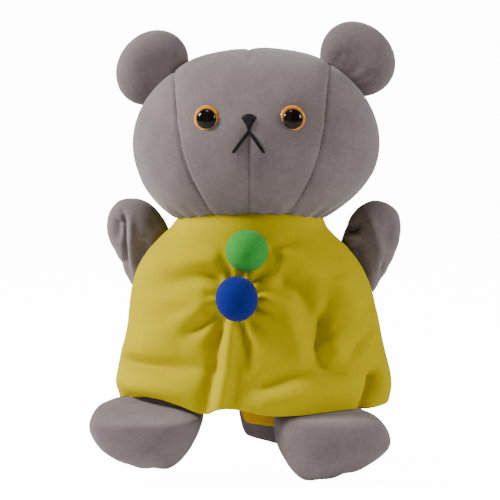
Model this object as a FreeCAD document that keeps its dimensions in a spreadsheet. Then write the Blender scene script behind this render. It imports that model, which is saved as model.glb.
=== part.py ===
import FreeCAD, Part
import math
import os
import re

# A bear glove puppet, in millimetres.  +Z is up and the face looks along -Y.  The origin
# is the centre of the hand opening, the mouth of the inner sleeve.  Left and right are the
# puppet's own, so its left side is +X.

LEFT, RIGHT = 1, -1
SIDES = ((LEFT, "left"), (RIGHT, "right"))
FAR = 400.0
SEAM_BEHIND = FreeCAD.Placement(FreeCAD.Vector(), FreeCAD.Rotation(FreeCAD.Vector(0, 0, 1), 90))

SIZES = {
    # head: a stuffed ellipsoid, flattened under the chin
    "head_half_width": 74.5, "head_half_depth": 55.0, "head_half_height": 57.0,
    "head_centre": 177.0, "head_base": 129.0, "skin": 2.0, "cheek_seam": 44.0,
    "back_seam": 5.0,
    # ears: flat ovals that lean outwards
    "ear_half_width": 24.0, "ear_half_height": 22.5, "ear_half_depth": 11.0,
    "ear_out": 63.0, "ear_up": 227.0, "ear_back": 4.0, "ear_lean": 35.0, "ear_skin": 1.5,
    # safety eyes
    "eye_out": 26.2, "eye_up": 191.4, "iris_radius": 7.5, "iris_thick": 2.0,
    "pupil_radius": 6.3, "pupil_rise": 3.6, "shank_radius": 2.0, "shank_length": 8.0,
    "washer_radius": 7.5, "washer_thick": 1.5, "washer_depth": 2.6, "slack": 0.1,
    # embroidery
    "thread_rise": 0.9, "nose_half_width": 4.4, "nose_top": 194.0, "nose_foot": 183.4,
    "mouth_drop": 13.0, "mouth_out": 8.8, "mouth_width": 1.9,
    # neck: nested rings round one centre, and the tube for the pointing finger
    "neck_centre": 136.0, "lower_band_inside": 18.0, "lower_band_outside": 20.6,
    "upper_band_inside": 21.4, "upper_band_outside": 24.2, "neck_hollow": 25.2,
    "tube_bore": 9.5, "tube_wall": 1.5, "tube_foot": 146.0, "tube_length": 44.0,
    # dress: ellipses from the hem up to the neck, half width, half depth and height
    "cloth": 2.0,
    "dress_w1": 83.0, "dress_d1": 54.0, "dress_z1": 20.0,
    "dress_w2": 82.0, "dress_d2": 52.0, "dress_z2": 46.0,
    "dress_w3": 76.0, "dress_d3": 47.0, "dress_z3": 66.0,
    "dress_w4": 73.0, "dress_d4": 44.0, "dress_z4": 82.0,
    "dress_w5": 68.0, "dress_d5": 41.0, "dress_z5": 95.0,
    "dress_w6": 60.0, "dress_d6": 37.0, "dress_z6": 106.0,
    "dress_w7": 48.0, "dress_d7": 32.0, "dress_z7": 114.0,
    "dress_w8": 27.0, "dress_d8": 26.0, "dress_z8": 118.5,
    # inner sleeve: straight at the mouth, then wider up to the waist of the dress
    "sleeve_w1": 45.0, "sleeve_d1": 28.0, "sleeve_z1": 0.0,
    "sleeve_w2": 45.0, "sleeve_d2": 28.0, "sleeve_z2": 16.0,
    "sleeve_w3": 50.0, "sleeve_d3": 31.0, "sleeve_z3": 60.0,
    "sleeve_w4": 70.5, "sleeve_d4": 41.5, "sleeve_z4": 82.0,
    "band_thick": 1.5, "band_foot": 5.0, "band_head": 15.0,
    # felt balls on the chest
    "ball_radius": 12.6, "green_out": -2.4, "green_up": 113.4, "blue_out": -8.4,
    "blue_up": 85.2,
    # arms: hollow mittens, each round a shoulder centre
    "shoulder_out": 62.0, "shoulder_back": 14.0, "shoulder_up": 95.0, "arm_lean": 10.6,
    "arm_root": 14.6, "arm_bulge": 17.4, "arm_straight": 26.0, "arm_tip": 24.0,
    "arm_start": -2.0, "arm_wall": 1.6, "cuff_inside": 10.2, "cuff_outside": 12.2,
    "armhole_edge": 47.0, "armhole_front": 12.0, "armhole_back": 34.0, "armhole_foot": 79.0,
    # legs: stuffed boots that hang from tabs at the hem, toes turned out
    "leg_out": 33.0, "leg_front": 43.4, "hip": 19.0, "tab_width": 16.0, "tab_thick": 1.6,
    "tab_length": 5.6, "leg_gap": 0.4, "leg_top_radius": 9.5, "ankle_radius": 13.0,
    "ankle": -4.0, "foot_out": 56.5, "foot_up": -4.0, "foot_half_length": 34.5,
    "foot_half_height": 18.3, "foot_half_depth": 17.5, "foot_rise": 14.0, "boot_skin": 1.5,
}

doc = FreeCAD.newDocument("bear_glove_puppet")
sheet = doc.addObject("Spreadsheet::Sheet", "Sizes")
nodes = []


def fill_sheet():
    for row, (name, value) in enumerate(SIZES.items(), start=1):
        sheet.set(f"A{row}", name)
        sheet.set(f"B{row}", str(value))
        sheet.setAlias(f"B{row}", name)
    doc.recompute()


def cell(name):
    return float(sheet.get(name))


def bind(thing, **formulas):
    """Bind each property to a formula whose words are names in the sheet."""
    for prop, formula in formulas.items():
        thing.setExpression(prop, re.sub(r"[a-z]\w*", r"Sizes.\g<0>", str(formula)))


def place(x, y, z, turn=FreeCAD.Rotation()):
    return FreeCAD.Placement(FreeCAD.Vector(x, y, z), turn)


def solid(kind, name, where, **formulas):
    thing = doc.addObject("Part::" + kind, name)
    bind(thing, **formulas)
    thing.Placement = where
    return thing


def box(name, low, high):
    """A plain box between two corners, for trimming."""
    thing = doc.addObject("Part::Box", name)
    thing.Length, thing.Width, thing.Height = (b - a for a, b in zip(low, high))
    thing.Placement = place(*low)
    return thing


def cut(name, base, *tools):
    for number, tool in enumerate(tools):
        thing = doc.addObject("Part::Cut", f"{name}_cut{number}")
        thing.Base, thing.Tool = base, tool
        base = thing
    return base


def both(name, first, second):
    thing = doc.addObject("Part::Common", name + "_common")
    thing.Base, thing.Tool = first, second
    return thing


def fuse(name, *things):
    thing = doc.addObject("Part::MultiFuse", name + "_fuse")
    thing.Shapes = list(things)
    return thing


def node(name, thing):
    thing.Label = name
    nodes.append(thing)
    return thing


def ellipsoid(name, where, width, depth, height, less="0"):
    """An ellipsoid whose seam lies behind it, clear of a cut through its width."""
    return solid("Ellipsoid", name, where.multiply(SEAM_BEHIND), Radius1=f"{height} - {less}",
                 Radius2=f"{depth} - {less}", Radius3=f"{width} - {less}")


def ball(name, where, radius):
    return solid("Sphere", name, where, Radius=radius)


def band(name, where, inside, outside, low, high):
    """A ring cut from a hollow ball between two latitudes, in degrees."""
    whole = ball(name + "_outside", where, outside)
    whole.Angle1, whole.Angle2 = low, high
    return cut(name, whole, ball(name + "_inside", where, inside))


def head_form_solid(name, less):
    """The head's ellipsoid, its seam at the side because the back panels meet behind."""
    return solid("Ellipsoid", name, place(0, 0, cell("head_centre")),
                 Radius1=f"head_half_height - {less}", Radius2=f"head_half_width - {less}",
                 Radius3=f"head_half_depth - {less}")


def head():
    outside = head_form_solid("head_outside", "0")
    inside = head_form_solid("head_inside", "skin")
    hollow = ball("neck_hollow", place(0, 0, cell("neck_centre")), "neck_hollow")
    base, skin = cell("head_base"), cell("skin")
    seam, back = cell("cheek_seam"), cell("back_seam")
    holes = [eye_cylinder(f"{name}_shank_hole", side, "shank_radius + slack", 30.0, -15.0)
             for side, name in SIDES]
    shell = cut("head_shell", outside, inside, hollow, *holes)
    for side, name in SIDES:
        spans = {"face": ((0, seam), (-FAR, back)), "cheek": ((seam, FAR), (-FAR, back)),
                 "back": ((0, FAR), (back, FAR))}
        for panel, (across, along) in spans.items():
            low_x, high_x = sorted(side * x for x in across)
            part = box(f"{name}_{panel}_span", (low_x, along[0], base), (high_x, along[1], FAR))
            node(f"{name}_{panel}_panel", both(f"{name}_{panel}_panel", shell, part))
    slab = box("head_base_slab", (-FAR, -FAR, base), (FAR, FAR, base + skin))
    node("head_base_panel", cut("head_base_panel", both("head_base", inside, slab), hollow))
    tube = cell("tube_foot")
    core = box("head_core", (-FAR, -FAR, base + skin), (FAR, FAR, FAR))
    bore = solid("Cylinder", "tube_hole", place(0, 0, tube), Radius="tube_bore + tube_wall",
                 Height="tube_length")
    pockets = [eye_cylinder(f"{name}_washer_pocket", side, "washer_radius + slack", 10.0, -10.0)
               for side, name in SIDES]
    node("head_stuffing", cut("head_stuffing", both("head_filling", inside, core), hollow, bore,
                              *pockets))
    pipe = solid("Cylinder", "tube_outside", place(0, 0, tube), Radius="tube_bore + tube_wall",
                 Height="tube_length")
    inner = solid("Cylinder", "tube_inside", place(0, 0, tube), Radius="tube_bore",
                  Height="tube_length")
    node("finger_tube", cut("finger_tube", pipe, inner))
    return outside


def eye_frame(side):
    """The place on the face where an eye sits, with local +Z pointing out of the head."""
    a, b, c = (cell("head_half_" + word) for word in ("width", "depth", "height"))
    x, z = side * cell("eye_out"), cell("eye_up") - cell("head_centre")
    y = -b * math.sqrt(1 - (x / a) ** 2 - (z / c) ** 2)
    normal = FreeCAD.Vector(x / a ** 2, y / b ** 2, z / c ** 2)
    turn = FreeCAD.Rotation(FreeCAD.Vector(0, 0, 1), normal)
    return place(x, y, z + cell("head_centre"), turn)


def eye_cylinder(name, side, radius, length, start):
    where = eye_frame(side).multiply(place(0, 0, start))
    thing = solid("Cylinder", name, where, Radius=radius)
    thing.Height = length
    return thing


def eyes():
    for side, name in SIDES:
        frame = eye_frame(side)
        disc = solid("Cylinder", f"{name}_iris_disc", frame, Radius="iris_radius",
                     Height="iris_thick")
        shank = solid("Cylinder", f"{name}_shank",
                      frame.multiply(place(0, 0, -cell("shank_length"))),
                      Radius="shank_radius", Height="shank_length")
        node(f"{name}_eye_iris", fuse(f"{name}_iris", disc, shank))
        dome = solid("Ellipsoid", f"{name}_pupil_dome",
                     frame.multiply(place(0, 0, cell("iris_thick"))),
                     Radius1="pupil_rise", Radius2="pupil_radius", Radius3="pupil_radius")
        dome.Angle1 = 0
        node(f"{name}_eye_pupil", dome)
        start = -cell("washer_depth") - cell("washer_thick")
        rim = eye_cylinder(f"{name}_washer_rim", side, "washer_radius", cell("washer_thick"), start)
        hole = eye_cylinder(f"{name}_washer_hole", side, "shank_radius + slack",
                            cell("washer_thick"), start)
        node(f"{name}_eye_washer", cut(f"{name}_washer", rim, hole))


def embroidery():
    """Satin stitches that stand a little proud of the face and follow its curve."""
    proud = head_form_solid("stitch_outside", "(0 - thread_rise)")
    layer = cut("stitch_layer", proud, head_form_solid("stitch_inside", "0"))
    half, top, foot = cell("nose_half_width"), cell("nose_top"), cell("nose_foot")
    corners = [(-half, top), (half, top), (0.45 * half, foot), (-0.45 * half, foot)]
    nose = prism("nose_outline", corners)
    node("nose_stitching", both("nose_stitching", layer, nose))
    reach, drop, wide = cell("mouth_out"), cell("mouth_drop"), cell("mouth_width")
    strokes = []
    for side, name in SIDES:
        ends = [(0, foot + wide), (0, foot - wide * 0.4), (side * reach, foot - drop - wide / 2),
                (side * (reach + wide / 2), foot - drop + wide / 2)]
        strokes.append(prism(f"{name}_mouth_outline", ends if side == RIGHT else ends[::-1]))
    mouth = both("mouth", layer, fuse("mouth_outline", *strokes))
    node("mouth_stitching", cut("mouth_stitching", mouth, prism("nose_clear", corners)))


def prism(name, corners):
    """An outline in the XZ plane, carried through the front of the head."""
    body = doc.addObject("PartDesign::Body", name)
    sketch = body.newObject("Sketcher::SketchObject", name + "_sketch")
    plane = next(f for f in body.Origin.OriginFeatures if f.Role == "XZ_Plane")
    sketch.AttachmentSupport, sketch.MapMode = [(plane, "")], "FlatFace"
    points = [FreeCAD.Vector(x, z, 0) for x, z in corners]
    lines = [Part.LineSegment(a, b) for a, b in zip(points, points[1:] + points[:1])]
    sketch.addGeometry(lines, False)
    pad = body.newObject("PartDesign::Pad", name + "_pad")
    pad.Profile = sketch
    pad.Length = FAR
    doc.recompute()
    return body


def ears(head_form):
    form = ("ear_half_width", "ear_half_depth", "ear_half_height")
    for side, name in SIDES:
        turn = FreeCAD.Rotation(FreeCAD.Vector(0, 1, 0), side * cell("ear_lean"))
        back = cell("ear_back")
        where = place(side * cell("ear_out"), back, cell("ear_up"), turn)
        outside = ellipsoid(f"{name}_ear_outside", where, *form)
        inside = ellipsoid(f"{name}_ear_inside", where, *form, less="ear_skin")
        shell = cut(f"{name}_ear_shell", outside, inside, head_form)
        front = box(f"{name}_ear_front_half", (-FAR, -FAR, 0), (FAR, back, FAR))
        rear = box(f"{name}_ear_rear_half", (-FAR, back, 0), (FAR, FAR, FAR))
        node(f"{name}_ear_front", both(f"{name}_ear_front", shell, front))
        node(f"{name}_ear_back", both(f"{name}_ear_back", shell, rear))
        node(f"{name}_ear_stuffing", cut(f"{name}_ear_stuffing", inside, head_form))


def neck():
    where = place(0, 0, cell("neck_centre"))
    node("neck_lower_band", band("neck_lower_band", where, "lower_band_inside",
                                 "lower_band_outside", -40, -4))
    node("neck_upper_band", band("neck_upper_band", where, "upper_band_inside",
                                 "upper_band_outside", -18, 16))


def loft(name, rows, prefix, less="0", sink=(), ends=(0, 0)):
    """A solid through the ellipses of the sheet's rows, shrunk by less and sunk by sink."""
    rings = []
    for row in rows:
        z = cell(f"{prefix}_z{row}") - (sink[row - 1] if sink else 0)
        z -= ends[0] if row == rows[0] else 0
        z += ends[1] if row == rows[-1] else 0
        ring = doc.addObject("Part::Ellipse", f"{name}_ring{row}")
        bind(ring, MajorRadius=f"{prefix}_w{row} - {less}", MinorRadius=f"{prefix}_d{row} - {less}")
        ring.Placement = place(0, 0, z)
        rings.append(ring)
    thing = doc.addObject("Part::Loft", name)
    thing.Sections, thing.Solid, thing.Ruled = rings, True, True
    return thing


def halves(name, shell):
    for half, low, high in (("front", -FAR, 0), ("back", 0, FAR)):
        part = box(f"{name}_{half}_half", (-FAR, low, -FAR), (FAR, high, FAR))
        node(f"{name}_{half}", both(f"{name}_{half}", shell, part))


def dress():
    rows = range(1, 9)
    sink = (0, 0, 0, 0.3, 0.6, 1.0, 1.8, 2.0)
    outside = loft("dress_outside", rows, "dress")
    inside = loft("dress_inside", rows, "dress", less="cloth", sink=sink, ends=(5, 0))
    neck_hole = solid("Cylinder", "neck_hole", place(0, 0, 100), Radius="dress_d8 - 2 * cloth")
    neck_hole.Height = 40
    edge, foot = cell("armhole_edge"), cell("armhole_foot")
    front, back = -cell("armhole_front"), cell("armhole_back")
    armholes = [box("left_armhole", (edge, front, foot), (FAR, back, FAR)),
                box("right_armhole", (-FAR, front, foot), (-edge, back, FAR))]
    halves("dress", cut("dress", outside, inside, neck_hole, *armholes))


def sleeve():
    rows = range(1, 5)
    outside = loft("sleeve_outside", rows, "sleeve")
    inside = loft("sleeve_inside", rows, "sleeve", less="cloth", ends=(5, 5))
    halves("sleeve", cut("sleeve", outside, inside))
    straight = (1, 2)
    wide = loft("band_outside", straight, "sleeve", less="(0 - band_thick)")
    span = box("band_span", (-FAR, -FAR, cell("band_foot")), (FAR, FAR, cell("band_head")))
    hole = loft("band_inside", straight, "sleeve", ends=(5, 5))
    node("sleeve_band", cut("sleeve_band", both("band", wide, span), hole))


def chest_depth(z):
    """Half depth of the dress at a height, read between the sheet's rows."""
    rows = [(cell(f"dress_z{i}"), cell(f"dress_d{i}")) for i in range(1, 9)]
    for (low, first), (high, second) in zip(rows, rows[1:]):
        if low <= z <= high:
            return first + (second - first) * (z - low) / (high - low)
    raise ValueError(z)


def balls():
    for colour in ("green", "blue"):
        x, z, radius = cell(colour + "_out"), cell(colour + "_up"), cell("ball_radius")
        lowest = z - radius / 2
        y = -chest_depth(lowest) - radius * 0.93
        node(f"{colour}_ball", ball(f"{colour}_ball", place(x, y, z), "ball_radius"))


def arms():
    for side, name in SIDES:
        turn = FreeCAD.Rotation(FreeCAD.Vector(0, 1, 0), side * cell("arm_lean"))
        back = cell("shoulder_back")
        where = place(side * cell("shoulder_out"), back, cell("shoulder_up"), turn)
        outside = mitten(f"{name}_arm_outside", where, "0")
        inside = mitten(f"{name}_arm_inside", where, "arm_wall")
        shell = cut(f"{name}_arm", outside, inside)
        front = box(f"{name}_arm_front_half", (-FAR, -FAR, 0), (FAR, back, FAR))
        rear = box(f"{name}_arm_rear_half", (-FAR, back, 0), (FAR, FAR, FAR))
        node(f"{name}_arm_front", both(f"{name}_arm_front", shell, front))
        node(f"{name}_arm_back", both(f"{name}_arm_back", shell, rear))
        node(f"{name}_arm_cuff", band(f"{name}_arm_cuff", where, "cuff_inside", "cuff_outside",
                                      -32, 10))


def mitten(name, where, less):
    root = where.multiply(place(0, 0, cell("arm_start")))
    sides = solid("Cone", name + "_sides", root, Radius1=f"arm_root - {less}",
                  Radius2=f"arm_bulge - {less}", Height="arm_straight")
    top = where.multiply(place(0, 0, cell("arm_start") + cell("arm_straight")))
    tip = solid("Ellipsoid", name + "_tip", top, Radius1=f"arm_tip - {less}",
                Radius2=f"arm_bulge - {less}", Radius3=f"arm_bulge - {less}")
    tip.Angle1 = 0
    return fuse(name, sides, tip)


def legs():
    for side, name in SIDES:
        x, y = side * cell("leg_out"), -cell("leg_front")
        hip, length = cell("hip"), cell("tab_length")
        wide, thick = cell("tab_width") / 2, cell("tab_thick") / 2
        tab = solid("Box", f"{name}_leg_tab", place(x - wide, y - thick, hip - length),
                    Length="tab_width", Width="tab_thick", Height="tab_length")
        node(f"{name}_leg_tab", tab)
        outside = boot(f"{name}_boot_outside", side, x, y, "0")
        inside = boot(f"{name}_boot_inside", side, x, y, "boot_skin")
        shell = cut(f"{name}_boot", outside, inside)
        front = box(f"{name}_boot_front_half", (-FAR, -FAR, -FAR), (FAR, y, FAR))
        rear = box(f"{name}_boot_rear_half", (-FAR, y, -FAR), (FAR, FAR, FAR))
        node(f"{name}_leg_front", both(f"{name}_leg_front", shell, front))
        node(f"{name}_leg_back", both(f"{name}_leg_back", shell, rear))
        node(f"{name}_leg_stuffing", inside)


def boot(name, side, x, y, less):
    top = cell("hip") - cell("tab_length") - cell("leg_gap")
    ankle = cell("ankle")
    skin = 0 if less == "0" else cell(less)
    leg = solid("Cone", name + "_leg", place(x, y, ankle).multiply(SEAM_BEHIND),
                Radius1=f"ankle_radius - {less}", Radius2=f"leg_top_radius - {less}")
    leg.Height = top - skin - ankle
    turn = FreeCAD.Rotation(FreeCAD.Vector(0, 1, 0), -side * cell("foot_rise"))
    foot = ellipsoid(name + "_foot", place(side * cell("foot_out"), y, cell("foot_up"), turn),
                     "foot_half_length", "foot_half_depth", "foot_half_height", less=less)
    return fuse(name, leg, foot)


def check_and_export():
    doc.recompute()
    failed = [thing.Name for thing in doc.Objects
              if "Invalid" in thing.State or "Error" in thing.State]
    failed += [thing.Label for thing in nodes
               if thing.Shape.isNull() or not thing.Shape.isValid() or not thing.Shape.Solids]
    if failed:
        raise RuntimeError("failed: " + ", ".join(failed))
    os.makedirs("parts", exist_ok=True)
    for thing in nodes:
        thing.Shape.exportStep(f"parts/{thing.Label}.step")
        size = thing.Shape.BoundBox
        print(f"{thing.Label:24s} solids {len(thing.Shape.Solids)} volume {thing.Shape.Volume:9.0f}"
              f" x {size.XMin:6.1f} {size.XMax:6.1f} y {size.YMin:6.1f} {size.YMax:6.1f}"
              f" z {size.ZMin:6.1f} {size.ZMax:6.1f}")


fill_sheet()
head_form = head()
ears(head_form)
eyes()
embroidery()
neck()
dress()
sleeve()
balls()
arms()
legs()
check_and_export()
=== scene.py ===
import math

import bmesh
import bpy
import numpy as np
from mathutils import Matrix, Vector
from mathutils.bvhtree import BVHTree


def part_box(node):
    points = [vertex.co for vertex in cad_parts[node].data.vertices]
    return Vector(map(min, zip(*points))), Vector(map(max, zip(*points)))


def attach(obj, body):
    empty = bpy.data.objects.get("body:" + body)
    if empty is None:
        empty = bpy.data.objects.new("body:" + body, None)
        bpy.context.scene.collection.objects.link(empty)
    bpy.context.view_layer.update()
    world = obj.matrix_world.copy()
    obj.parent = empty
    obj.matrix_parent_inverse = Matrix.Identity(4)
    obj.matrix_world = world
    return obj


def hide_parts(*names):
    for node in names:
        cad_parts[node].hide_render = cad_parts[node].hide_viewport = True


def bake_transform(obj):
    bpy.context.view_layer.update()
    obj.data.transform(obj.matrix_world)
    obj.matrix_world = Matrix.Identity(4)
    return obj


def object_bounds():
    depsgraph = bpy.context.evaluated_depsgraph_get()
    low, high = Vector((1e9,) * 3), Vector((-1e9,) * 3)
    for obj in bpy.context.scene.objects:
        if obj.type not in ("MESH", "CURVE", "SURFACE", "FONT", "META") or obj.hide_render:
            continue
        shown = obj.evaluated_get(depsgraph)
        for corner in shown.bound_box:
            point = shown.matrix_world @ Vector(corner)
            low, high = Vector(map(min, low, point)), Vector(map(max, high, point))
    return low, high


# A bear glove puppet, dressed around its CAD frame.  Metres, +Z up, the face looks along -Y.
# Left and right are the puppet's own, so its left side is +X.

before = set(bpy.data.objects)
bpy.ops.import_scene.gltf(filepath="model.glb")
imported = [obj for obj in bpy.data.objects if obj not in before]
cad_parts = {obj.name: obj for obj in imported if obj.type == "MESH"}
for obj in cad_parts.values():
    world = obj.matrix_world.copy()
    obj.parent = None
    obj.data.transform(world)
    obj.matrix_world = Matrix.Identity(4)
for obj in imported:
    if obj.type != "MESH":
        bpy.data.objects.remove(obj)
cad_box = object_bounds()

MM = 0.001
SIDES = (("left", 1), ("right", -1))


def middle(node):
    """The centre of a node's box."""
    low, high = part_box(node)
    return np.array([(a + b) / 2 for a, b in zip(low, high)])


def half(node):
    """Half the size of a node's box, each way."""
    low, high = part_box(node)
    return np.array([(b - a) / 2 for a, b in zip(low, high)])


# ---------------------------------------------------------------- camera, lights and floor

VIEW_WIDTH = 0.300
VIEW_DISTANCE = 1.9
VIEW_RISE = math.radians(3)
VIEW_TARGET = Vector((-0.0006, -0.02, 0.1122))
# each light's place, width and power
LIGHTS = {
    "key": ((-1.35, -0.22, 1.10), 0.45, 62),
    "side": ((1.30, -0.20, 0.70), 0.45, 18),
    "top": ((-0.10, -0.30, 1.60), 0.40, 7),
    "fill": ((-0.5, -1.9, 0.7), 0.9, 0.7),
}
SWEEP_GLOW = 14.0
ROOM_GLOW = 0.05
FLOOR_GAP = 1.5 * MM
FLOOR_REACH = 6


def set_camera():
    """A long lens, a little above, looking at the face."""
    data = bpy.data.cameras.new("camera")
    data.lens = data.sensor_width * VIEW_DISTANCE / VIEW_WIDTH
    camera = bpy.data.objects.new("camera", data)
    away = Vector((0, -math.cos(VIEW_RISE), math.sin(VIEW_RISE)))
    camera.location = VIEW_TARGET + away * VIEW_DISTANCE
    camera.rotation_euler = (math.pi / 2 - VIEW_RISE, 0, 0)
    bpy.context.collection.objects.link(camera)
    bpy.context.scene.camera = camera


def area_light(name, place, size, power):
    data = bpy.data.lights.new(name, "AREA")
    data.shape, data.size, data.energy = "DISK", size, power
    light = bpy.data.objects.new(name, data)
    light.location = place
    light.rotation_euler = (VIEW_TARGET - Vector(place)).to_track_quat("-Z", "Y").to_euler()
    bpy.context.collection.objects.link(light)


def set_light():
    """Strong light from above on one side, weaker from the other, and little from the front."""
    for name, (place, size, power) in LIGHTS.items():
        area_light(name, place, size, power)
    world = bpy.data.worlds.new("studio")
    world.use_nodes = True
    glow = world.node_tree.nodes["Background"]
    glow.inputs["Color"].default_value = (1, 1, 1, 1)
    backlight(world.node_tree, glow.inputs["Strength"], ROOM_GLOW, SWEEP_GLOW)
    bpy.context.scene.world = world


def backlight(tree, socket, dim, bright):
    """The camera sees this socket bright, as a backlit sweep, while it lights things dimly."""
    seen = tree.nodes.new("ShaderNodeLightPath").outputs["Is Camera Ray"]
    level = tree.nodes.new("ShaderNodeMath")
    level.operation = "MULTIPLY_ADD"
    level.inputs[1].default_value = bright - dim
    level.inputs[2].default_value = dim
    tree.links.new(seen, level.inputs[0])
    tree.links.new(level.outputs[0], socket)


def set_floor():
    """A plain white floor, just below the soles."""
    level = cad_box[0][2] - FLOOR_GAP
    far = np.linspace(-FLOOR_REACH, FLOOR_REACH, 5)
    floor = grid("floor", np.array([[(x, y, level) for x in far] for y in far]), around=False)
    material, tree, shader = new_material("floor_paper")
    finish_surface(shader, Base_Color=(0.9, 0.9, 0.9, 1), Roughness=0.9,
                   Emission_Color=(1, 1, 1, 1))
    backlight(tree, shader.inputs["Emission Strength"], 0.0, SWEEP_GLOW)
    floor.data.materials.append(material)


# ---------------------------------------------------------------- meshes

def mesh_piece(name, points, faces):
    data = bpy.data.meshes.new(name)
    data.from_pydata([tuple(p) for p in points], [], faces)
    data.polygons.foreach_set("use_smooth", [True] * len(data.polygons))
    data.update()
    piece = bpy.data.objects.new(name, data)
    bpy.context.collection.objects.link(piece)
    return piece


def grid(name, points, around=True):
    """A quad sheet through rows of points; around closes each row on itself."""
    rows, columns = points.shape[:2]
    index = np.arange(rows * columns).reshape(rows, columns)
    along = index if not around else np.hstack([index, index[:, :1]])
    faces = np.stack([along[:-1, :-1], along[:-1, 1:], along[1:, 1:], along[1:, :-1]], axis=-1)
    return mesh_piece(name, points.reshape(-1, 3), faces.reshape(-1, 4).tolist())


def ball_points(level):
    """Points of a unit ball's surface, evenly spread, and its faces."""
    mesh = bmesh.new()
    bmesh.ops.create_icosphere(mesh, subdivisions=level, radius=1)
    mesh.verts.ensure_lookup_table()
    points = np.array([v.co[:] for v in mesh.verts])
    faces = [[v.index for v in f.verts] for f in mesh.faces]
    mesh.free()
    return points, faces


def lumps(points, size, seed, waves=7):
    """Smooth unevenness between about -1 and 1, with features of the given size."""
    random = np.random.default_rng(seed)
    total = np.zeros(len(points))
    for _ in range(waves):
        direction = random.normal(size=3)
        direction *= random.uniform(0.6, 1.5) / (size * np.linalg.norm(direction))
        total += np.sin(points @ direction + random.uniform(0, 6.3))
    return total / waves ** 0.5 / 1.6


def apply_modifiers(piece):
    """Replaces a piece's mesh with what its modifiers make of it."""
    bpy.context.view_layer.update()
    graph = bpy.context.evaluated_depsgraph_get()
    done = bpy.data.meshes.new_from_object(piece.evaluated_get(graph))
    piece.modifiers.clear()
    piece.data = done
    piece.data.polygons.foreach_set("use_smooth", [True] * len(piece.data.polygons))
    return piece


def thicken(piece, thickness):
    """Turns a bare surface into cloth with two faces."""
    wall = piece.modifiers.new("cloth", "SOLIDIFY")
    wall.thickness, wall.offset = thickness, 0
    return apply_modifiers(piece)


def points_of(piece):
    data = np.empty(len(piece.data.vertices) * 3)
    piece.data.vertices.foreach_get("co", data)
    return data.reshape(-1, 3)


def normals_of(piece):
    data = np.empty(len(piece.data.vertices) * 3)
    piece.data.vertices.foreach_get("normal", data)
    return data.reshape(-1, 3)


def set_points(piece, points):
    piece.data.vertices.foreach_set("co", np.ascontiguousarray(points).ravel())
    piece.data.update()


def tubes(name, paths, radius):
    """Round threads along paths, as one mesh."""
    curve = bpy.data.curves.new(name, "CURVE")
    curve.dimensions, curve.bevel_depth, curve.bevel_resolution = "3D", radius, 2
    curve.use_fill_caps = True
    for path in paths:
        line = curve.splines.new("POLY")
        line.points.add(len(path) - 1)
        for point, place in zip(line.points, path):
            point.co = (*place, 1)
    holder = bpy.data.objects.new(name + "_curve", curve)
    bpy.context.collection.objects.link(holder)
    bpy.context.view_layer.update()
    graph = bpy.context.evaluated_depsgraph_get()
    data = bpy.data.meshes.new_from_object(holder.evaluated_get(graph))
    bpy.data.objects.remove(holder)
    data.polygons.foreach_set("use_smooth", [True] * len(data.polygons))
    piece = bpy.data.objects.new(name, data)
    bpy.context.collection.objects.link(piece)
    return piece


def melt(name, centres, radii, voxel, rounds):
    """Overlapping ellipsoids of the same size melted into one soft skin."""
    mesh = bmesh.new()
    for centre in centres:
        bmesh.ops.create_icosphere(mesh, subdivisions=4, radius=1,
                                   matrix=Matrix.Translation(centre) @ Matrix.Diagonal((*radii, 1)))
    data = bpy.data.meshes.new(name)
    mesh.to_mesh(data)
    mesh.free()
    piece = bpy.data.objects.new(name, data)
    bpy.context.collection.objects.link(piece)
    remesh = piece.modifiers.new("remesh", "REMESH")
    remesh.mode, remesh.voxel_size = "VOXEL", voxel
    smooth = piece.modifiers.new("smooth", "SMOOTH")
    smooth.factor, smooth.iterations = 0.5, rounds
    return apply_modifiers(piece)


def evened(values, rounds, axis=0):
    """A closed row of values, each drawn a little towards its neighbours every round."""
    for _ in range(rounds):
        values = (0.25 * np.roll(values, 1, axis) + 0.5 * values
                  + 0.25 * np.roll(values, -1, axis))
    return values


def even_rows(rows):
    """Draws each row but the first and last a little towards its neighbours, in place."""
    rows[1:-1] = 0.25 * rows[:-2] + 0.5 * rows[1:-1] + 0.25 * rows[2:]


def inflated(name, side, outline, centre, y, depth):
    """Two flat panels, sewn round an outline seen from the front and stuffed."""
    unit, faces = ball_points(6)
    rim = np.array(outline) - np.array(centre)
    angle, reach = np.arctan2(rim[:, 1], rim[:, 0]), np.hypot(rim[:, 0], rim[:, 1])
    order = np.argsort(angle)
    fine = np.linspace(-math.pi, math.pi, 720, endpoint=False)
    radius = evened(np.interp(fine, angle[order], reach[order], period=2 * math.pi), 90)
    out, turn = np.hypot(unit[:, 0], unit[:, 2]), np.arctan2(unit[:, 2], unit[:, 0])
    out = out * np.interp(turn, fine, radius, period=2 * math.pi)
    x, z = centre[0] + out * np.cos(turn), centre[1] + out * np.sin(turn)
    thick = depth * np.sign(unit[:, 1]) * np.abs(unit[:, 1]) ** 0.85
    points = np.stack([side * x * MM, y + thick * MM, z * MM], axis=1)
    return mesh_piece(name, points, [f[::side] for f in faces])


def path_falloff(points, path, width):
    """How near points are to a bent line: 1 on it, falling off over width and to its ends."""
    pieces = len(path) - 1
    near = []
    for number, (start, end) in enumerate(zip(path, path[1:])):
        where = (number + along_segment(points, start, end)) / pieces
        taper = np.clip(where / 0.12, 0.35, 1)
        taper = taper * np.sin(np.clip((1 - where) / 0.6, 0.1, 1) * math.pi / 2)
        near.append(segment_falloff(points, start, end, width) * taper)
    return np.max(near, axis=0)


def along_segment(points, start, end):
    """How far along a segment each point's nearest place on it is, from 0 to 1."""
    along = np.array(end) - np.array(start)
    return np.clip(((points - np.array(start)) @ along) / (along @ along), 0, 1)


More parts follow.
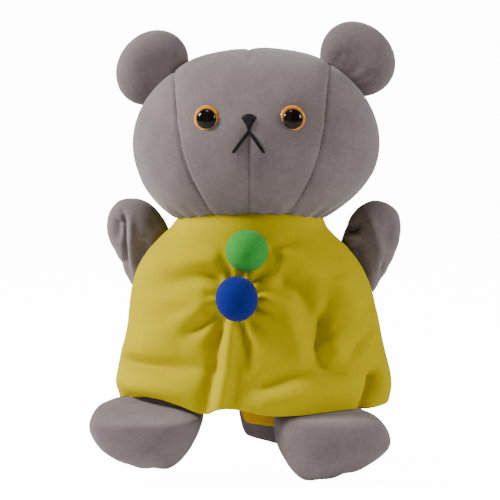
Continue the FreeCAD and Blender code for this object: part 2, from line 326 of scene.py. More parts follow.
def segment_falloff(points, start, end, width):
    """How near points are to a segment: 1 on it, falling off over width."""
    start, end = np.array(start), np.array(end)
    where = along_segment(points, start, end)
    gap = np.linalg.norm(points - start - where[:, None] * (end - start), axis=1)
    return np.exp(-(gap / width) ** 2)


def fold_push(flat, folds):
    """How far folds push points of the front view out: each has a path, a width and a rise."""
    push = np.zeros(len(flat))
    for path, width, rise in folds:
        path = [(x * MM, 0, z * MM) for x, z in path]
        push += rise * MM * path_falloff(flat, path, width * MM)
    return push


def swell(x, z, at, size):
    """A smooth swelling in the front view: 1 at a place, falling off over a size each way."""
    return np.exp(-((x - at[0]) / size[0]) ** 2 - ((z - at[1]) / size[1]) ** 2)


def dress_piece(piece, material, body, slot, *nodes):
    """The lines that every piece ends with."""
    piece.data.materials.clear()
    piece.data.materials.append(material)
    if body:
        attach(piece, body)
    if nodes:
        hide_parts(*nodes)
    return piece


# ---------------------------------------------------------------- materials

def new_material(name):
    """A new material, its node tree and its shader."""
    material = bpy.data.materials.new(name)
    material.use_nodes = True
    tree = material.node_tree
    return material, tree, tree.nodes["Principled BSDF"]


def noise_node(tree, scale, detail=3, rough=0.55):
    node = tree.nodes.new("ShaderNodeTexNoise")
    node.inputs["Scale"].default_value = scale
    node.inputs["Detail"].default_value = detail
    node.inputs["Roughness"].default_value = rough
    place = tree.nodes.get("place") or tree.nodes.new("ShaderNodeTexCoord")
    place.name = "place"
    tree.links.new(place.outputs["Object"], node.inputs["Vector"])
    return node.outputs["Fac"]


def ramp_node(tree, value, stops):
    node = tree.nodes.new("ShaderNodeValToRGB")
    ramp = node.color_ramp
    while len(ramp.elements) < len(stops):
        ramp.elements.new(0.5)
    for element, (position, colour) in zip(ramp.elements, stops):
        element.position, element.color = position, (*colour, 1)
    tree.links.new(value, node.inputs["Fac"])
    return node.outputs["Color"]


def shade(colour, factor):
    """A colour made lighter or darker."""
    return tuple(min(1, c * factor) for c in colour)


def bump_node(tree, value, strength, distance, under=None):
    node = tree.nodes.new("ShaderNodeBump")
    node.inputs["Strength"].default_value = strength
    node.inputs["Distance"].default_value = distance
    tree.links.new(value, node.inputs["Height"])
    if under:
        tree.links.new(under, node.inputs["Normal"])
    return node.outputs["Normal"]


def multiply_node(tree, factor, first, second):
    node = tree.nodes.new("ShaderNodeMix")
    node.data_type, node.blend_type = "RGBA", "MULTIPLY"
    node.inputs[0].default_value = factor
    tree.links.new(first, node.inputs[6])
    tree.links.new(second, node.inputs[7])
    return node.outputs[2]


def finish_surface(shader, **settings):
    """Sets the shader's own sockets, named with _ for each space."""
    for name, value in settings.items():
        shader.inputs[name.replace("_", " ")].default_value = value


def plush(name, colour):
    """Short brushed nap: cloudy where it is stroked, a fine grain, flecks and a soft sheen."""
    material, tree, shader = new_material(name)
    clouds = ramp_node(tree, noise_node(tree, 38, 4, 0.6),
                       [(0.32, shade(colour, 0.88)), (0.68, shade(colour, 1.12))])
    grain = ramp_node(tree, noise_node(tree, 1500, 2, 0.7),
                      [(0.3, (0.76, 0.75, 0.75)), (0.7, (1.0, 1.0, 1.0))])
    flecks = ramp_node(tree, noise_node(tree, 480, 2, 0.65),
                       [(0.30, (0.84, 0.83, 0.82)), (0.50, (1.0, 1.0, 1.0))])
    stroked = multiply_node(tree, 0.75, clouds, grain)
    tree.links.new(multiply_node(tree, 0.6, stroked, flecks), shader.inputs["Base Color"])
    deep = bump_node(tree, noise_node(tree, 260, 3, 0.6), 0.35, 0.7 * MM)
    fine = bump_node(tree, noise_node(tree, 2100, 2, 0.7), 0.55, 0.35 * MM, deep)
    tree.links.new(fine, shader.inputs["Normal"])
    finish_surface(shader, Roughness=0.92, Sheen_Weight=0.25, Sheen_Roughness=0.45,
                   Specular_IOR_Level=0.15)
    return material


def jersey(name, colour):
    """Brushed knit: fine wales one way, courses the other, and a light fuzz."""
    material, tree, shader = new_material(name)
    clouds = ramp_node(tree, noise_node(tree, 22, 3, 0.5),
                       [(0.3, shade(colour, 0.93)), (0.7, shade(colour, 1.05))])
    fuzz = ramp_node(tree, noise_node(tree, 1300, 3, 0.7),
                     [(0.3, (0.86, 0.85, 0.60)), (0.7, (1.0, 1.0, 1.0))])
    tree.links.new(multiply_node(tree, 0.7, clouds, fuzz), shader.inputs["Base Color"])
    place = tree.nodes["place"]
    normal = None
    for direction, pitch, strength in (("X", 0.9, 0.25), ("Z", 0.7, 0.2)):
        wave = tree.nodes.new("ShaderNodeTexWave")
        wave.bands_direction = direction
        wave.inputs["Scale"].default_value = 2 * math.pi / (20 * pitch * MM)
        wave.inputs["Distortion"].default_value = 1.5
        wave.inputs["Detail"].default_value = 1
        tree.links.new(place.outputs["Object"], wave.inputs["Vector"])
        normal = bump_node(tree, wave.outputs["Fac"], strength, 0.15 * MM, normal)
    normal = bump_node(tree, noise_node(tree, 1700, 2, 0.7), 0.5, 0.25 * MM, normal)
    tree.links.new(normal, shader.inputs["Normal"])
    finish_surface(shader, Roughness=0.88, Specular_IOR_Level=0.02)
    return material


def felt(name, colour):
    """Matted wool: short fibres that cross every way."""
    material, tree, shader = new_material(name)
    base = ramp_node(tree, noise_node(tree, 900, 4, 0.75),
                     [(0.3, shade(colour, 0.72)), (0.72, shade(colour, 1.22))])
    tree.links.new(base, shader.inputs["Base Color"])
    deep = bump_node(tree, noise_node(tree, 420, 3, 0.6), 0.4, 0.5 * MM)
    tree.links.new(bump_node(tree, noise_node(tree, 2400, 3, 0.8), 0.6, 0.3 * MM, deep),
                   shader.inputs["Normal"])
    finish_surface(shader, Roughness=0.8, Sheen_Weight=0.06, Sheen_Roughness=0.35,
                   Specular_IOR_Level=0.1)
    return material


def gloss(name, dark, light, scale, roughness):
    """Moulded plastic under a clear polish."""
    material, tree, shader = new_material(name)
    base = ramp_node(tree, noise_node(tree, scale, 3, 0.5), [(0.35, dark), (0.65, light)])
    tree.links.new(base, shader.inputs["Base Color"])
    tree.links.new(bump_node(tree, noise_node(tree, 300, 1, 0.5), 0.05, 0.1 * MM),
                   shader.inputs["Normal"])
    finish_surface(shader, Roughness=roughness, Specular_IOR_Level=0.14, Coat_Weight=0.08,
                   Coat_Roughness=0.05)
    return material


def thread(name, colour):
    """Stranded cotton with a fine twist."""
    material, tree, shader = new_material(name)
    base = ramp_node(tree, noise_node(tree, 2600, 2, 0.6),
                     [(0.3, shade(colour, 0.6)), (0.7, shade(colour, 1.2))])
    tree.links.new(base, shader.inputs["Base Color"])
    tree.links.new(bump_node(tree, noise_node(tree, 3200, 2, 0.7), 0.5, 0.1 * MM),
                   shader.inputs["Normal"])
    finish_surface(shader, Roughness=0.7, Specular_IOR_Level=0.15)
    return material


GREY = (0.165, 0.134, 0.131)
YELLOW = (0.43, 0.335, 0.0)
# the yellow jersey darkened and warmed: painted shade for the band under the hem, which is the same
# yellow cloth
SHADED_YELLOW = (0.60, 0.33, 0.004)
GREEN = (0.028, 0.24, 0.03)
BLUE = (0.002, 0.009, 0.15)
THREAD_BLACK = (0.004, 0.0035, 0.005)
THREAD_GREY = (0.09, 0.075, 0.075)
# a dark and a light shade of each plastic
AMBER = ((0.40, 0.13, 0.015), (0.75, 0.30, 0.03))
GLOSS_BLACK = ((0.004, 0.003, 0.003), (0.008, 0.005, 0.004))


# ---------------------------------------------------------------- head

HEAD_RISE = 57 * MM
SIDE_EASE = 1.008
HEAD_SHIFT = 3.2 * MM
SHIFT_HEIGHT = 30 * MM
NOSE_OUT = -1.2 * MM


def head_shape():
    """The centre and radii of the stuffed head, and the height of its base."""
    side, back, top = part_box("left_back_panel")[1]
    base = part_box("head_base_panel")[0][2]
    return np.array((0, 0, top - HEAD_RISE)), np.array((side * SIDE_EASE, back, HEAD_RISE)), base


HEAD_CENTRE, HEAD_RADII, HEAD_BASE = head_shape()
# the seams beside the face: how far out they run at each height
SEAM_HEIGHTS = np.array([131, 138, 147, 156, 171, 186, 198, 213, 224]) * MM
SEAM_OUT = np.array([21, 26, 31, 35.5, 40.5, 43.6, 44.8, 46.2, 47]) * MM

# swellings, and hollows where the rise is negative: place (x, z), size each way and rise;
# all but the muzzle are alike on both sides
CHEEK = (0.052, 0.160), (16 * MM, 20 * MM), 1.5 * MM
BROW = (0.036, 0.224), (16 * MM, 12 * MM), 1.3 * MM
EYE_SOCKET = (0.0262, 0.1914), (9 * MM, 9 * MM), -1.6 * MM
MUZZLE = (NOSE_OUT, 0.172), (26 * MM, 22 * MM), 3.0 * MM


def seam_groove(gap):
    """How far a stitched seam pulls the skin in, by the distance from it."""
    line, valley = np.exp(-(gap / (0.8 * MM)) ** 2), np.exp(-(gap / (5.0 * MM)) ** 2)
    return (1.1 * line + 0.7 * valley) * MM


def head_shift(z):
    """How far the stuffing leans the head to its left, from none at the base."""
    return HEAD_SHIFT * np.clip((z - HEAD_BASE) / SHIFT_HEIGHT, 0, 1)


def head_swells(x, z, front):
    """The muzzle, cheeks, brow and eye sockets."""
    at, size, rise = MUZZLE
    push = rise * swell(x, z, at, size) * front
    for at, size, rise in (CHEEK, BROW):
        push += rise * swell(np.abs(x), z, at, size)
    at, size, rise = EYE_SOCKET
    return push + rise * front * swell(np.abs(x), z, at, size)


def head_seams(points):
    """Grooves and puckers along the seams, and the gathers at the neck."""
    x, y, z = points.T
    side = np.interp(z, SEAM_HEIGHTS, SEAM_OUT)
    facing = 1 / (1 + np.exp((y + 2 * MM) / (2 * MM)))
    drawn = x + head_shift(z)
    beside, midway = np.abs(np.abs(drawn) - side), np.abs(drawn - NOSE_OUT)
    # the middle seam is lost between the nose and the crown
    strength = np.clip((0.186 - z) / (5 * MM), 0, 1) + np.clip((z - 0.222) / (6 * MM), 0, 1)
    strength = np.where(y < 0, strength, 1)
    push = -seam_groove(beside) * facing
    push -= seam_groove(midway) * strength
    push -= seam_groove(np.abs(y - 5 * MM)) * (np.abs(x) > 0.03)
    for gap in (beside, midway + 9 * (1 - strength)):
        near = np.exp(-(gap / (3.2 * MM)) ** 2) * facing
        push += 0.28 * MM * near * lumps(points, 2.2 * MM, 6)
    gathers = np.sin(26 * np.arctan2(y, x))
    return push + 0.7 * MM * gathers * np.exp(-((z - HEAD_BASE) / (9 * MM)) ** 2)


def flatten_base(points):
    """The flat base over the neck, rounded into the cheeks."""
    round_off = 3 * MM
    middle_gap = np.clip(np.hypot(points[:, 0], points[:, 1]) / 0.04, 0, 1)
    low = HEAD_BASE + 1.5 * MM * (1 - middle_gap)
    depth = low + round_off - points[:, 2]
    rounded = low + round_off * np.exp(-np.clip(depth, 0, None) / round_off)
    points[:, 2] = np.where(depth > 0, rounded, points[:, 2])


def make_head(skin):
    """The stuffed head: six gores under one nap, over a flat base."""
    unit, faces = ball_points(7)
    points = unit * HEAD_RADII + HEAD_CENTRE
    normal = unit / HEAD_RADII
    normal /= np.linalg.norm(normal, axis=1)[:, None]
    push = 0.9 * MM * lumps(points, 26 * MM, 3) + 0.35 * MM * lumps(points, 8 * MM, 4)
    push += head_swells(points[:, 0], points[:, 2], np.clip(-unit[:, 1], 0, 1))
    push += head_seams(points)
    points = points + normal * push[:, None]
    flatten_base(points)
    points[:, 0] += head_shift(points[:, 2])
    piece = mesh_piece("head_skin", points, faces)
    dress_piece(piece, skin, "head", "grey_plush", "head_base_panel", "head_stuffing", "finger_tube",
                *[f"{name}_{panel}_panel" for name, _ in SIDES
                  for panel in ("face", "cheek", "back")])
    return piece


def make_head_stitches(tree, dark):
    """Short running stitches that show in the face's seams."""
    pitch, length, lift = 2.6 * MM, 1.7 * MM, 0.05 * MM
    spots = [[(side * np.interp(up, SEAM_HEIGHTS, SEAM_OUT), up) for up in (z, z + length)]
             for side in (-1, 1) for z in np.arange(0.139, 0.213, pitch)]
    spots += [[(NOSE_OUT, up) for up in (z, z + length)] for z in np.arange(0.134, 0.183, pitch)]
    paths = []
    for spot in spots:
        ends = [on_face(tree, out, up) for out, up in spot]
        paths.append([point + normal * lift for point, normal in ends])
    dress_piece(tubes("seam_stitches", paths, 0.22 * MM), dark, "head", "grey_plush")


def on_face(tree, x, z):
    """The face's surface point and normal straight behind a place in the front view."""
    point, normal, _, _ = tree.ray_cast(Vector((x, -0.3, z)), Vector((0, 1, 0)))
    return point, normal


# ---------------------------------------------------------------- ears

# each ear: how far out and up its middle is, its lean in degrees, and its half height
EARS = {"left": (64.2, 226.8, 44, 22.0), "right": (59.8, 221.4, 50, 21.1)}


def make_ear(name, side, skin):
    """Two round panels with a seam round the rim, stuffed, and dished in front."""
    out, up, lean, tall = EARS[name]
    unit, faces = ball_points(6)
    radii = np.array([24.5, 11.5, tall]) * MM
    points = np.sign(unit) * np.abs(unit) ** np.array([1, 0.92, 1]) * radii
    x, y, z = points.T
    rim = np.clip(1 - np.abs(y) / (1.3 * MM), 0, 1)
    rim_wide = np.exp(-(y / (4 * MM)) ** 2)
    inward = np.stack([x, np.zeros_like(x), z], axis=1)
    inward /= np.maximum(np.linalg.norm(inward, axis=1), 1e-6)[:, None]
    points -= inward * (0.9 * MM * rim + 0.5 * MM * rim_wide)[:, None]
    dish = np.exp(-(x / (12 * MM)) ** 2 - ((z + 3 * MM) / (12 * MM)) ** 2)
    points[:, 1] += np.where(y < 0, 1, -0.4) * 3.0 * MM * dish
    points += unit * (0.7 * MM * lumps(points, 8 * MM, 11 + side))[:, None]
    for number, lean_x in enumerate((-9, 4, 12)):
        crease = segment_falloff(points, (lean_x * MM * 0.6, -11 * MM, -20 * MM),
                                 (lean_x * MM, -11 * MM, (-6 + 2 * number) * MM), 2.6 * MM)
        points[:, 1] += 0.7 * MM * crease
    turn = Matrix.Rotation(side * math.radians(lean), 3, "Y")
    points = points @ np.array(turn).T + np.array([side * out, 3, up]) * MM
    piece = mesh_piece(f"{name}_ear", points, faces)
    dress_piece(piece, skin, "head", "grey_plush", f"{name}_ear_front", f"{name}_ear_back",
                f"{name}_ear_stuffing")


# ---------------------------------------------------------------- eyes

def turned(name, profile, frame_matrix, steps=72):
    """A round piece: a profile of (radius, rise) turned about local Z."""
    angles = np.linspace(0, 2 * math.pi, steps, endpoint=False)
    rows = [[(r * math.cos(a), r * math.sin(a), h) for a in angles] for r, h in profile]
    piece = grid(name, np.array(rows))
    set_points(piece, np.array([frame_matrix @ Vector(p) for p in points_of(piece)]))
    return piece


EYE_SHIFT = {"left": -2.4, "right": 0.6}
# the amber disc: radius and rise of its profile, in millimetres
IRIS_PROFILE = [(0.01, -2.5), (7.2, -2.5), (7.6, -0.5), (7.7, 0.6), (7.55, 1.15), (7.1, 1.55),
                (6.5, 1.8), (5.8, 1.95), (3, 2.05), (0.01, 2.1)]
PUPIL_RADIUS = 6.0


def make_eye(name, side, tree, amber, black):
    """A safety eye: a black dome, a little low on its amber disc."""
    spot = middle(f"{name}_eye_pupil")
    point, _ = on_face(tree, spot[0] + EYE_SHIFT[name] * MM, spot[2] - 0.4 * MM)
    normal = Vector((side * 0.17, -0.97, 0.15)).normalized()
    turn = normal.to_track_quat("Z", "Y").to_matrix().to_4x4()
    place = Matrix.Translation(point - normal * 0.4 * MM) @ turn
    iris = turned(f"{name}_iris", [(r * MM, h * MM) for r, h in IRIS_PROFILE], place)
    dress_piece(iris, amber, "head", "amber_plastic", f"{name}_eye_iris", f"{name}_eye_washer")
    dome = [(PUPIL_RADIUS * math.cos(a), 1.75 + 3.3 * math.sin(a))
            for a in np.linspace(0, math.pi / 2, 16)]
    profile = [(max(r, 0.01) * MM, h * MM) for r, h in [(PUPIL_RADIUS, 0.8)] + dome]
    pupil = turned(f"{name}_pupil", profile, place @ Matrix.Translation((0, -0.55 * MM, 0)))
    dress_piece(pupil, black, "head", "black_gloss", f"{name}_eye_pupil")


# ---------------------------------------------------------------- embroidery

def laid_stitch(tree, start, end, lift, steps=9):
    """A thread from one hole to another over the face, ends sunk into the skin."""
    path = []
    for t in np.linspace(0, 1, steps):
        x, z = (1 - t) * start[0] + t * end[0], (1 - t) * start[1] + t * end[1]
        point, normal = on_face(tree, x, z)
        rise = lift * (1 - (2 * t - 1) ** 4) - 0.3 * MM
        path.append(point + normal * rise)
    return path


def make_nose(tree, black):
    """Satin stitches in three layers, widest near the top and drawn to a point below."""
    low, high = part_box("nose_stitching")
    top, foot = high[2] - 0.1 * MM, low[2] - 0.2 * MM
    paths = []
    for layer, lift in enumerate((0.55, 0.95, 1.3)):
        count = 15 - 4 * layer
        for i in range(count):
            across = (i + 0.5) / count * 2 - 1
            reach = (4.6 - 0.6 * layer) * MM * across
            crown = top - (2.2 * across ** 2 + 0.4 * layer - 0.35 * (i % 2)) * MM
            heel = foot + (4.6 * abs(across) ** 1.4 + 0.6 * layer) * MM
            paths.append(laid_stitch(tree, (NOSE_OUT + reach, crown),
                                     (NOSE_OUT + reach * 0.3, heel), lift * MM))
    dress_piece(tubes("nose_threads", paths, 0.42 * MM), black, "head", "black_thread",
                "nose_stitching")


def make_mouth(tree, black):
    """Two straight stitches of three strands, down and out from under the nose."""
    start_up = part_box("nose_stitching")[0][2] + 0.6 * MM
    end_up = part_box("mouth_stitching")[0][2] + 2.0 * MM
    paths = []
    for reach in (-9.3, 8.7):
        for offset in (-0.55, 0.0, 0.55):
            start = (NOSE_OUT + offset * MM, start_up)
            end = (NOSE_OUT + (reach + offset) * MM, end_up)
            paths.append(laid_stitch(tree, start, end, 0.75 * MM, 12))
    dress_piece(tubes("mouth_threads", paths, 0.5 * MM), black, "head", "black_thread",
                "mouth_stitching")


# ---------------------------------------------------------------- dress

# rings from under the chin down to the hem: half width to the puppet's left and to its right,
# half depth, and height, in millimetres
DRESS_RINGS = np.array([
    (23, 23, 20, 124.0), (31, 31, 26, 127.5), (38, 38, 32, 131.0), (42, 41, 36.0, 132.5),
    (43.5, 44.5, 39.0, 129.5), (45.5, 48.5, 41, 124.5), (50.5, 54.5, 42, 119.0),
    (57.0, 61, 43, 112.5), (62.5, 66, 44, 105.5), (66.6, 69.2, 44.5, 98.5),
    (69.8, 71.3, 45, 91.0), (72.0, 72.3, 45.5, 84.0), (73.6, 72.8, 46.5, 76.0),
    (76.2, 73.6, 47.5, 67.0), (78.7, 75.8, 48.5, 58.0), (81.0, 78.6, 50, 48.5),
    (83.0, 79.6, 52, 38.5), (84.3, 79.6, 53.5, 29.5), (84.8, 79.0, 54.5, 23.0),
    (84.5, 78.5, 54.8, 18.0)])
HEM_OUT = np.array([-84, -79, -72, -60, -52, -40, -31, -26, -22, -15, -5, 5, 16, 30, 47, 60, 72, 86])
HEM_UP = np.array([27, 26, 25, 26.5, 25, 20.5, 16.5, 16, 18.5, 20, 19, 16.5, 15.5, 15.5, 17, 18,
                   16.5, 20])
# folds on the front: a path of (x, z), width and rise, in millimetres
FRONT_FOLDS = [
    ([(-12, 74), (-15, 42), (-21, 4)], 4.0, 5.6),
    ([(-16, 72), (-22, 42), (-30, 4)], 4.6, -5.6),
    ([(-5, 74), (-2, 58), (0, 36)], 4.0, -4.4),
    ([(-2, 60), (4, 30), (6, 16)], 6.0, 1.6),
    ([(2, 88), (20, 78), (28, 60), (31, 38)], 6.0, 3.4),
    ([(12, 99), (29, 90), (38, 72), (40, 54), (35, 36)], 7.5, -6.0),
    ([(-14, 100), (-37, 96.5), (-62, 90)], 6.0, -4.2),
    ([(-16, 108), (-52, 106)], 6.0, 2.0),
    ([(-24, 86), (-66, 82)], 6.0, 2.4),
    ([(-17, 77), (-43, 60)], 4.0, -4.4),
    ([(-14, 70), (-30, 50)], 3.6, -2.8),
    ([(-26, 79), (-50, 66)], 4.4, 2.2),
    ([(-98, 46), (-66, 44), (-16, 43)], 4.8, -7.4),
    ([(-98, 33), (-60, 31), (-26, 27)], 6.0, 4.8),
    ([(-66, 60), (-40, 56)], 8.5, 2.0),
    ([(0, 31), (24, 40), (50, 46)], 4.6, -4.6),
    ([(0, 22), (36, 29), (72, 27)], 6.5, 3.0),
    ([(44, 60), (54, 46)], 9.0, 5.6),
    ([(46, 80), (41, 57), (45, 43), (80, 37)], 3.6, -5.8),
    ([(74, 68), (54, 43)], 3.8, -4.4),
    ([(76, 76), (62, 46)], 5.0, 2.6),
    ([(77, 42), (61, 2)], 3.2, -8.6),
    ([(79, 42), (81, 10)], 3.8, 3.4),
    ([(9, 113), (32, 122)], 4.6, -2.8),
    ([(14, 108), (50, 98)], 7.5, 2.0),
    ([(52, 100), (64, 62)], 7.0, 2.2),
    ([(46, 92), (51, 58)], 6.5, -2.2)]
PLEATS = 11
# the height of the lowest ring, and the height below which the hem's shape is felt
RING_FOOT = 18
HEM_EFFECT_TOP = 80


def smooth_rings(rings, rows):
    """Rows between the rings, eased so that no ring shows as a crease."""
    steps = np.linspace(0, len(rings) - 1, rows)
    out = np.stack([np.interp(steps, range(len(rings)), column) for column in rings.T], axis=1)
    for _ in range(4):
        even_rows(out)
    return out


def dress_surface(rows, columns):
    """The bell of the dress before it is folded: rows from the neck to the hem."""
    rings = smooth_rings(DRESS_RINGS, rows)
    angle = np.linspace(0, 2 * math.pi, columns, endpoint=False)
    left, right, depth, height = (rings[:, i:i + 1] for i in range(4))
    leftward = 0.5 + 0.5 * np.cos(angle)
    x = (left * leftward + right * (1 - leftward)) * np.cos(angle)
    y = depth * np.sin(angle)
    front = np.clip(-np.sin(angle), 0, 1)[None, :] ** 0.4
    # the collar stands up a little at the front, and the hem rises and dips along it
    collar = np.exp(-((height - 132) / 4) ** 2) * front ** 2
    hem = evened(np.interp(x[-1], HEM_OUT, HEM_UP), 6)
    hem = front[0] * hem + (1 - front[0]) * (22 + 1.5 * np.cos(5 * angle))
    reach = np.clip((HEM_EFFECT_TOP - height) / (HEM_EFFECT_TOP - RING_FOOT), 0, 1) ** 1.2
    z = height + 2.4 * collar + reach * (hem[None, :] - RING_FOOT)
    return np.stack([x, y, z], axis=-1) * MM


def dress_push(points, normal):
    """How far folds, gathers and fullness push each point of the dress out."""
    flat = points * np.array([1, 0, 1])
    facing = np.clip(-normal[:, 1] * 1.6, 0, 1)
    push = fold_push(flat, FRONT_FOLDS) * facing
    # the blue ball is sewn through, so the cloth gathers towards it
    away = flat - middle("blue_ball") * np.array([1, 0, 1])
    radius = np.linalg.norm(away, axis=1)
    push -= 6.0 * MM * np.exp(-(radius / (15 * MM)) ** 2) * facing
    spokes = np.cos(PLEATS * np.arctan2(away[:, 0], away[:, 2]) + 0.6)
    push += 1.3 * MM * spokes * facing * np.exp(-((radius - 17 * MM) / (9 * MM)) ** 2)
    # fullness round the hem at the back and sides, and overall unevenness
    low = np.clip((0.100 - points[:, 2]) / 0.08, 0, 1)
    turn = np.arctan2(points[:, 1], points[:, 0])
    back = np.clip(normal[:, 1] * 1.6, 0, 1)
    push += 3.4 * MM * low * back * np.sin(9 * turn + 1.2 * np.sin(3 * turn))
    side = 1 - np.clip(np.abs(normal[:, 1]) * 1.8, 0, 1)
    push += 1.2 * MM * low * side * np.sin(points[:, 2] / (7 * MM) + 3 * np.sign(points[:, 0]))
    push += MM * (0.9 * lumps(points, 16 * MM, 21) + 0.3 * lumps(points, 6 * MM, 22))
    # little moves at the neck, where the cloth is sewn under the chin
    return push * np.clip((0.128 - points[:, 2]) / 0.014, 0.1, 1)


def make_dress(cloth):
    """The outer dress, gathered at the neck, open at the hem and slit for the arms."""
    rows, columns = ((190, 560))
    piece = grid("dress", dress_surface(rows, columns)[:, ::-1])
    points, normal = points_of(piece), normals_of(piece)
    push = dress_push(points, normal).reshape(rows, columns)
    for _ in range(4):
        push = evened(push, 1, axis=1)
        even_rows(push)
    set_points(piece, points + normal * push.reshape(-1, 1))
    thicken(piece, 1.5 * MM)
    cut_armholes(piece)
    dress_piece(piece, cloth, None, "yellow_jersey", "dress_front", "dress_back")
    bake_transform(piece)


def cut_armholes(piece):
    """Slits in the sides that the mittens come out of."""
    for name, side in SIDES:
        shoulder = shoulder_of(name, side)
        along = Vector((side * 0.21, 0, 0.978))
        centres = [shoulder + along * step * MM for step in (-2, 8, 18, 28, 38)]
        cutter = melt(f"{name}_armhole_cutter", centres, (16.5 * MM, 16 * MM, 16.5 * MM),
                      2.2 * MM, 2)
        hole = piece.modifiers.new("armhole", "BOOLEAN")
        hole.operation, hole.object, hole.solver = "DIFFERENCE", cutter, "EXACT"
        apply_modifiers(piece)
        bpy.data.objects.remove(cutter)


# ---------------------------------------------------------------- sleeve

SLEEVE_TOP = 60 * MM
# how much higher its mouth is on the right, where it is turned up
TURN_UP = 28 * MM
# the band's rows: how far up the sleeve, and how far out in millimetres
BAND_ROWS = [(0.03, 0.4), (0.045, 1.5), (0.07, 1.8), (0.16, 1.8), (0.19, 1.5), (0.2, 0.5)]


def sleeve_ring(t, out, foot_front, foot_back, slope):
    """One ring of the sleeve, from its mouth at t = 0 to its top at 1."""
    angle = np.linspace(0, 2 * math.pi, 220, endpoint=False)
    x = (45 + 3 * t) * MM * np.cos(angle)
    y = (28 + 2 * t) * MM * np.sin(angle)
    front = np.clip(-np.sin(angle) * 1.5, 0, 1)
    turned_up = TURN_UP / (1 + np.exp((x + 7 * MM) / (1.2 * MM)))
    foot = front * (foot_front * MM - slope * x * (x > -8 * MM) + turned_up)
    foot += (1 - front) * (foot_back * MM + turned_up)
    z = foot + (SLEEVE_TOP - foot) * t
    scale = (1 + out * MM / 0.04) * (1 + 0.02 * np.sin(7 * angle + 1))
    return np.stack([x * scale, y * scale, z], axis=-1)


def make_sleeve(skin, cloth):
    """The inner sleeve; its mouth is turned up on the right and hangs on the left."""
    rings = [sleeve_ring(t, 0, 0.5, 0.5, 0.27) for t in np.linspace(0, 1, 60)]
    lining = thicken(grid("sleeve", np.array(rings)), 1.6 * MM)
    dress_piece(lining, skin, "glove", "grey_plush", "sleeve_front", "sleeve_back")
    # the band's cloth is a darker copy of the yellow jersey, its shadow painted into the colour
    rings = [sleeve_ring(t, out, 6.3, 5, 0.16) for t, out in BAND_ROWS]
    band = grid("sleeve_band_cloth", np.array(rings))
    dress_piece(band, cloth, "glove", "yellow_jersey", "sleeve_band")


# ---------------------------------------------------------------- balls

def make_ball(name, seed, material, slot, stretch):
    """A round felt ball, a little uneven."""
    unit, faces = ball_points(5)
    size = half(name)[0]
    points = unit * size * np.array(stretch)
    points += unit * (0.35 * MM * lumps(points, 5 * MM, seed))[:, None]
    piece = mesh_piece(f"{name}_felt", points + middle(name), faces)
    dress_piece(piece, material, "glove", slot, name)


# ---------------------------------------------------------------- arms

# each mitten's outline from the front, outward from the middle and up, in millimetres
MITTEN_OUTLINES = {
    "right": [(72, 142.4), (65, 141.6), (58.7, 138), (53.5, 132), (49.5, 125), (48.5, 115),
              (50, 104), (53, 93), (58, 85), (64, 83), (69, 85.5), (73, 92), (77, 103),
              (81.5, 110.7), (85.2, 118.2), (86.3, 126.6), (84.5, 135), (79.4, 141)],
    "left": [(74.3, 141.4), (67.6, 138.6), (61.5, 133), (57.5, 126), (55, 119), (53.5, 110),
             (53.5, 99), (56, 90), (61, 84), (67, 81.5), (72.4, 83.5), (77.4, 92.5),
             (83, 101), (87, 109), (89.8, 118), (90.4, 126), (89, 134.5), (83, 139.5)],
}
MITTEN_MIDDLE = {"right": (67, 113), "left": (72, 112)}
# folds and dents in their fronts: a path of (outward, up), width and rise
MITTEN_FOLDS = {
    "right": [([(78.2, 135), (76.2, 127), (76.4, 118), (75.6, 103), (73.5, 94)], 1.7, -3.2),
              ([(81, 131), (81, 114)], 3.4, -3.4),
              ([(73.2, 130), (72.6, 100)], 2.4, 1.6),
              ([(63, 119), (68, 106), (68, 96)], 3.2, -1.8),
              ([(60, 132), (56, 122)], 4, -1.2)],
    "left": [([(57, 122.6), (63.4, 124.6), (66, 131)], 2.6, -6.0),
             ([(56, 119), (67, 120)], 2.2, 2.4),
             ([(62, 117), (66, 104), (70, 92)], 5.0, -3.2),
             ([(72, 132), (78, 112), (77, 96)], 3.2, 2.0),
             ([(80, 104), (78.6, 96)], 1.5, -1.4),
             ([(84, 128), (83, 112)], 3.5, -1.2)],
}


def shoulder_of(name, side):
    """The middle of the shoulder, at the height and width where the arm pivots."""
    return Vector((side * 0.062, middle(f"{name}_arm_cuff")[1], 0.095))


def make_arm(name, side, skin):
    """A mitten of two panels with little stuffing, and the gusset at its root."""
    shoulder = shoulder_of(name, side)
    outline = [(out + 1.2, up) for out, up in MITTEN_OUTLINES[name]]
    piece = inflated(f"{name}_arm", side, outline, MITTEN_MIDDLE[name], shoulder.y, 15.0)
    points, normal = points_of(piece), normals_of(piece)
    push = MM * (0.6 * lumps(points, 9 * MM, 31 + side) + 0.25 * lumps(points, 4 * MM, 33))
    # the folds show in front, and half as deep behind
    front, back = np.clip(-2.5 * normal[:, 1], 0, 1), np.clip(2.5 * normal[:, 1], 0, 1)
    push += fold_push(points * np.array([side, 0, 1]), MITTEN_FOLDS[name]) * (front + 0.5 * back)
    push -= 0.8 * MM * np.exp(-((points[:, 1] - shoulder.y) / (1.0 * MM)) ** 2)
    set_points(piece, points + normal * push[:, None])
    dress_piece(piece, skin, f"{name}_arm", "grey_plush", f"{name}_arm_front", f"{name}_arm_back")
    root = shoulder - Vector((side * 3, 0, 0)) * MM
    gusset = melt(f"{name}_gusset", [root], (12.5 * MM, 16.5 * MM, 16 * MM), 1.5 * MM, 3)
    dress_piece(gusset, skin, f"{name}_cuff", "grey_plush", f"{name}_arm_cuff")


# ---------------------------------------------------------------- legs

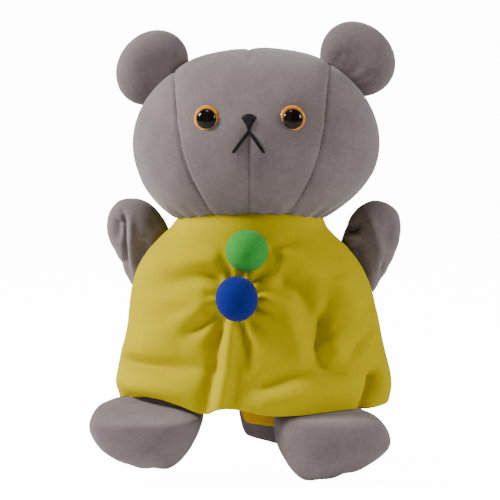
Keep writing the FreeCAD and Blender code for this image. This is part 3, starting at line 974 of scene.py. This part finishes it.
# each boot's outline from the front, outward from the middle and up, in millimetres
BOOT_OUTLINES = {
    "right": [(27.9, 15.7), (30.2, 7.6), (33.9, -1), (38.8, -8.5), (49.4, -17), (57.4, -16),
              (72.3, -14.3), (83.5, -9.9), (92.2, -2.9), (96.8, 5.2), (96.8, 11.4), (92.6, 18.8),
              (86, 22.4), (74.8, 25.6), (64, 28.5), (52, 29), (40, 28), (31, 24)],
    "left": [(14.2, 15), (14.5, 6.4), (16.3, -3.5), (19.4, -10), (24.4, -17.4), (31.8, -23),
             (40.5, -22.6), (55.4, -19.3), (70.3, -14.9), (79, -9.1), (82.9, -4.8), (83.6, 0.2),
             (81.6, 6.4), (76.5, 12.8), (67.8, 17.1), (56, 20.6), (44, 22), (32, 23), (22, 22),
             (16, 19)],
}
BOOT_MIDDLE = {"right": (60, 6), "left": (45, -1)}


def make_tab(name, side, skin):
    """The seam allowance that sews a leg to the inside of the hem."""
    low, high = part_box(f"{name}_leg_tab")
    out, up = np.linspace(-4.5, 4.5, 12), np.linspace(0, 1, 8)
    middle_out, y = (low[0] + high[0]) / 2, (low[1] + high[1]) / 2
    front = [[(middle_out + side * (4 + o) * MM, y + (11 - 5 * t) * MM,
               high[2] + (0.5 + 4.5 * t) * MM) for o in out] for t in up]
    strip = grid(f"{name}_leg_seam", np.array(front)[:, ::-side], around=False)
    thicken(strip, 1.4 * MM)
    dress_piece(strip, skin, f"{name}_tab", "grey_plush", f"{name}_leg_tab")


def make_leg(name, side, skin):
    """A stuffed boot of two panels, flattened where it is sewn to the hem."""
    y = middle(f"{name}_leg_tab")[1]
    piece = inflated(f"{name}_leg", side, BOOT_OUTLINES[name], BOOT_MIDDLE[name], y, 17.5)
    points = points_of(piece)
    # the top lies flat against the inside of the hem
    out, up = points[:, 0] * side, points[:, 2]
    flatten = np.clip((27 * MM - up) / (15 * MM), 0.12, 1)
    tuck = np.clip((up - 9 * MM) / (14 * MM), 0, 1)
    tuck = tuck ** 2 * (3 - 2 * tuck) * (9 * MM + 0.3 * np.clip(out - 45 * MM, 0, None))
    points[:, 1] = y + (points[:, 1] - y) * flatten + tuck
    set_points(piece, points)
    normal = normals_of(piece)
    push = MM * (0.8 * lumps(points, 13 * MM, 41 + side) + 0.35 * lumps(points, 5 * MM, 43))
    push -= 0.8 * MM * np.exp(-((points[:, 1] - y - tuck) / (1.1 * MM)) ** 2)
    set_points(piece, points + normal * push[:, None])
    dress_piece(piece, skin, f"{name}_leg", "grey_plush", f"{name}_leg_front",
                f"{name}_leg_back", f"{name}_leg_stuffing")


# ---------------------------------------------------------------- the whole puppet

def main():
    """The studio, then the pieces from the head down."""
    set_camera()
    set_light()
    set_floor()
    skin = plush("grey_plush", GREY)
    cloth = jersey("yellow_jersey", YELLOW)
    black_thread = thread("black_thread", THREAD_BLACK)
    head = make_head(skin)
    tree = BVHTree.FromObject(head, bpy.context.evaluated_depsgraph_get())
    for name, side in SIDES:
        make_ear(name, side, skin)
    make_head_stitches(tree, thread("seam_thread", THREAD_GREY))
    amber = gloss("amber_plastic", *AMBER, 240, 0.2)
    black = gloss("black_gloss", *GLOSS_BLACK, 150, 0.16)
    for name, side in SIDES:
        make_eye(name, side, tree, amber, black)
    make_nose(tree, black_thread)
    make_mouth(tree, black_thread)
    make_dress(cloth)
    # the sleeve band gets the yellow jersey in a darker copy: painted shade
    make_sleeve(skin, jersey("shaded_yellow_jersey", SHADED_YELLOW))
    make_ball("green_ball", 51, felt("green_felt", GREEN), "green_felt", (1, 1, 1))
    make_ball("blue_ball", 52, felt("blue_felt", BLUE), "blue_felt", (1, 1, 1.06))
    for name, side in SIDES:
        make_arm(name, side, skin)
        make_leg(name, side, skin)
        make_tab(name, side, skin)
    # the frame's own neck bands stay, in the plush
    for name in ("neck_lower_band", "neck_upper_band"):
        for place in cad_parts[name].material_slots:
            place.link = "OBJECT"
            place.material = skin


main()
